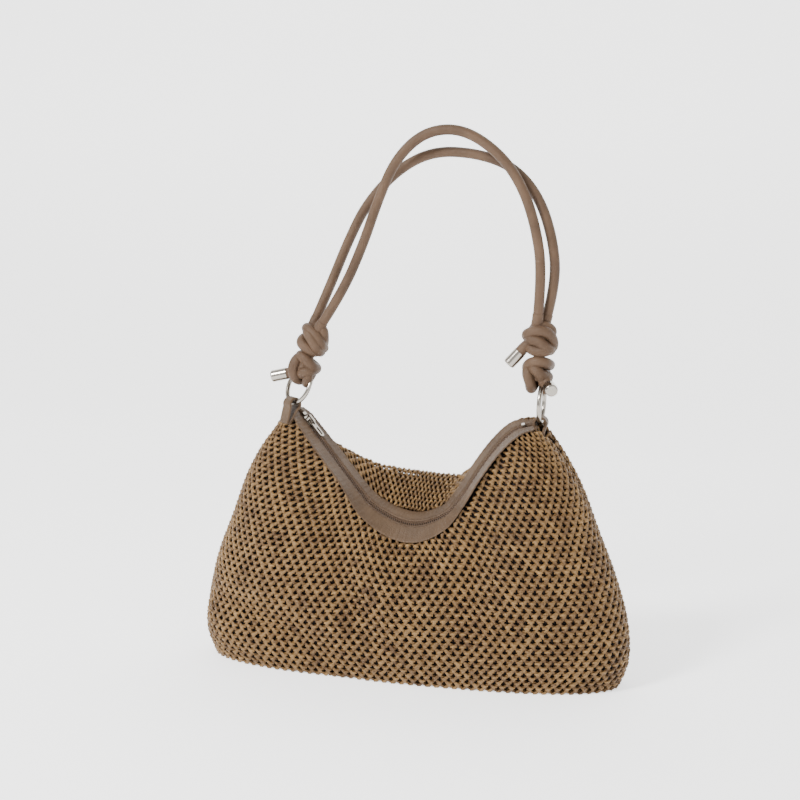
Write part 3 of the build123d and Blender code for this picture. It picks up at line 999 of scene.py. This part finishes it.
def knot(name, foot, up, strands, node, tails=()):
    """Interlaced turns of cord, and the cord's ends that leave them."""
    place = knot_frame(foot, up)
    paths = [smooth_path(place(strand), 12 * len(strand)) for strand in strands]
    for tail in tails:
        paths.append(smooth_path(tail, 30))
    return part(tubes(name, paths, KNOT_CORD, LEATHER_CORD, 18), "handle", "cord", node)


def tail_points(inside, mouth, direction):
    """Cord's short end, from inside a knot into its metal cap."""
    mouth, direction = np.array(mouth, float), unit(np.array(direction, float))
    return [inside, mouth - direction * 6, mouth, mouth + direction * 8]


# Strands of each knot as points (right, front, height), seen from the front
LEFT_UPPER = [
    [(10, -4, 8), (9, 6, 13), (3, 8.5, 19), (-6, 6, 22), (-9, -2, 20), (-4, -8, 16), (5, -8, 14)],
    [(-9, -5, 20), (-5, 7, 19), (1, 10, 15), (7, 8, 9), (9, 0, 5), (4, -8, 5), (-5, -7, 8)],
    [(-5, -8, 12), (-9, 0, 11), (-7.5, 7, 8), (-1, 8, 5.5), (5, 5, 4), (8, -3, 7), (3, -8, 12)],
    [(8, -6, 12), (9, 2, 18), (7, 4, 24), (1, 0, 26), (-5, -5, 22)],
    [(-2, 0, 2), (0, 0, 14), (2, 0, 24)],
]
LEFT_LOWER = [
    [(-8, -6, 20), (-5, 6, 23), (2, 8.5, 21), (8, 6, 17), (9.5, -2, 15), (3, -8, 16), (-5, -8, 18)],
    [(-4, 2, 24), (-8, 6, 18), (-8.5, 7.5, 10), (-5, 6, 2.5), (-1, -2, 0.5), (-3, -7, 8), (-5, -5, 16)],
    [(9, -3, 14), (7, 7, 12), (1.5, 8, 9), (-1, 2, 6)],
    [(2, 4, 15), (6.5, 7, 8), (7, 4, 1.5), (4, -4, 0.5), (5, -8, 8), (4, -6, 17)],
    [(-1, 3, 4), (-1, 5, 12), (1, 3, 26)],
]
RIGHT_UPPER = [
    [(-11, -4, 14), (-11, 5, 18), (-3, 8.5, 22), (6, 7, 21), (10.5, 1, 14), (9, -5, 7), (0, -9, 9)],
    [(-10, -3, 16), (-8, 7, 14.5), (0, 9.5, 13), (7, 8, 8), (9, 1, 6), (4, -8, 10), (-5, -7, 14)],
    [(9, -2, 9), (7.5, 7, 6), (0, 8.5, 4.5), (-7, 5, 6), (-8, -4, 9), (-1, -9, 12)],
    [(-8, -5, 17), (-5, 2, 24), (2, 1, 26), (8, -3, 22), (6, -8, 15)],
    [(-1, 0, 1), (-1, 5, 8), (1, 5, 18), (0, 0, 25)],
]
RIGHT_LOWER = [
    [(9, -4, 18), (7, 6, 21), (0, 9, 22), (-7, 6, 19), (-9.5, -1, 14), (-3, -8, 14), (5, -8, 16)],
    [(-9, 2, 17), (-8, 7, 10), (-5.5, 5, 2), (-5, 0, -3), (-3.5, -6, 3), (-4, -6, 12)],
    [(-5, 5, 17), (0, 9.5, 14), (6, 7.5, 9), (8.5, 0, 8), (3, -8, 9), (-4, -7, 12)],
    [(3, 7, 12), (6.5, 5, 4), (6.5, 0, -3), (5.5, -6, 3), (5, -6, 12)],
    [(-1, 2, 6), (0, 4, 14), (0, 2, 22), (0, 0, 29)],
]


def cord_neck(foot, up, route, height=12.0):
    """Cord's hidden start, from inside its knot to its first free point."""
    first, second = np.array(route[0], float), np.array(route[1], float)
    return [foot + up * height, first - unit(second - first) * 6, first, first + unit(second - first) * 5]


LEFT_UPPER_FOOT, RIGHT_UPPER_FOOT = LEFT_KNOTS + LEFT_UP * 26.5, RIGHT_KNOTS + RIGHT_UP * 26.5
knot(
    "left_lower_turns", LEFT_KNOTS + LEFT_LEAN, LEFT_UP, LEFT_LOWER, "left_lower_knot",
    tails=[
        tail_points((-104, -4, 274), (-117, -3, 270.5), (-0.97, -0.08, -0.22)),
        tail_points((-102, -3, 278), (-105, 12, 275.5), (-0.25, 0.95, -0.17)),
    ],
)
knot(
    "left_upper_turns", LEFT_UPPER_FOOT + LEFT_LEAN, LEFT_UP, LEFT_UPPER, "left_upper_knot",
    tails=[cord_neck(LEFT_UPPER_FOOT, LEFT_UP, route) for route in (FRONT_CORD_ROUTE, BACK_CORD_ROUTE)],
)
knot(
    "right_lower_turns", RIGHT_KNOTS, RIGHT_UP, RIGHT_LOWER, "right_lower_knot",
    tails=[tail_points((118, -4, 281), (126.5, -15, 270.5), (0.3, -0.95, -0.08))],
)
knot(
    "right_upper_turns", RIGHT_UPPER_FOOT, RIGHT_UP, RIGHT_UPPER, "right_upper_knot",
    tails=[tail_points((109, -1, 308), (98.2, -2.8, 298), (-0.66, -0.1, -0.74))]
    + [cord_neck(RIGHT_UPPER_FOOT, RIGHT_UP, route[::-1]) for route in (FRONT_CORD_ROUTE, BACK_CORD_ROUTE)],
)

# ---------------------------------------------------------------- CAD pieces that show

METAL_NODES = [
    "zipper_top_stop", "zipper_bottom_stop", "zipper_slider", "zipper_pull", "left_ring", "right_ring",
    "cord_tip_left_front", "cord_tip_left_back", "cord_tip_right_front", "cord_tip_right_back",
]
for node in METAL_NODES:
    for place in frame["nodes"][node].material_slots:
        place.material = NICKEL

# ---------------------------------------------------------------- floor, light and camera


def backdrop():
    """Pale floor that turns up into a wall behind."""
    front, back, bend, half, height = -2600, 900, 500, 4000, 3200
    turns = np.linspace(0, pi / 2, 16)[1:]
    profile = [(front, 0), (back, 0)]
    profile += [(back + bend * sin(a), bend * (1 - cos(a))) for a in turns]
    profile += [(back + bend, height)]
    rows = [[(x, y, z - 0.05) for x in (-half, 0, half)] for y, z in profile]
    n = Nodes("floor")
    patch = n.noise(n.place(), 2.0)
    n.colour(n.ramp(patch, [(0.3, (0.86, 0.86, 0.855)), (0.7, (0.88, 0.88, 0.875))]))
    n.set(Roughness=0.9, Specular_IOR_Level=0.1, Emission_Color=(1, 1, 1, 1), Emission_Strength=1.25)
    grid = np.array(rows, float)
    floor = new_mesh("floor", grid.reshape(-1, 3), grid_faces(*grid.shape[:2]), n.material)


def area_light(name, place, target, size, power):
    """Round white light that faces a target."""
    light = bpy.data.lights.new(name, "AREA")
    light.shape = "DISK"
    light.size = size
    light.energy = power
    obj = bpy.data.objects.new(name, light)
    bpy.context.scene.collection.objects.link(obj)
    obj.location = place
    obj.rotation_euler = (Vector(target) - Vector(place)).to_track_quat("-Z", "Y").to_euler()


def world(strength):
    """Even white light from all round."""
    scene_world = bpy.data.worlds.new("studio")
    bpy.context.scene.world = scene_world
    scene_world.use_nodes = True
    background = scene_world.node_tree.nodes["Background"]
    background.inputs["Color"].default_value = (1, 1, 1, 1)
    background.inputs["Strength"].default_value = strength


def camera(target, azimuth, elevation, distance, lens):
    """Camera that looks at a target; azimuth 0 looks along +Y."""
    data = bpy.data.cameras.new("camera")
    data.lens = lens
    data.sensor_width = 36
    obj = bpy.data.objects.new("camera", data)
    bpy.context.scene.collection.objects.link(obj)
    a, e = radians(azimuth), radians(elevation)
    away = Vector((sin(a) * cos(e), -cos(a) * cos(e), sin(e)))
    obj.location = Vector(target) + away * distance
    obj.rotation_euler = (-away).to_track_quat("-Z", "Y").to_euler()
    bpy.context.scene.camera = obj


backdrop()
area_light("key", (-0.9, -1.3, 1.5), (0, 0, 0.15), 0.5, 62)
area_light("fill", (1.4, -1.2, 0.9), (0, 0, 0.15), 1.4, 8)
world(0.95)
camera((-0.011, 0, 0.25), 15, 10, 1.3, 65)
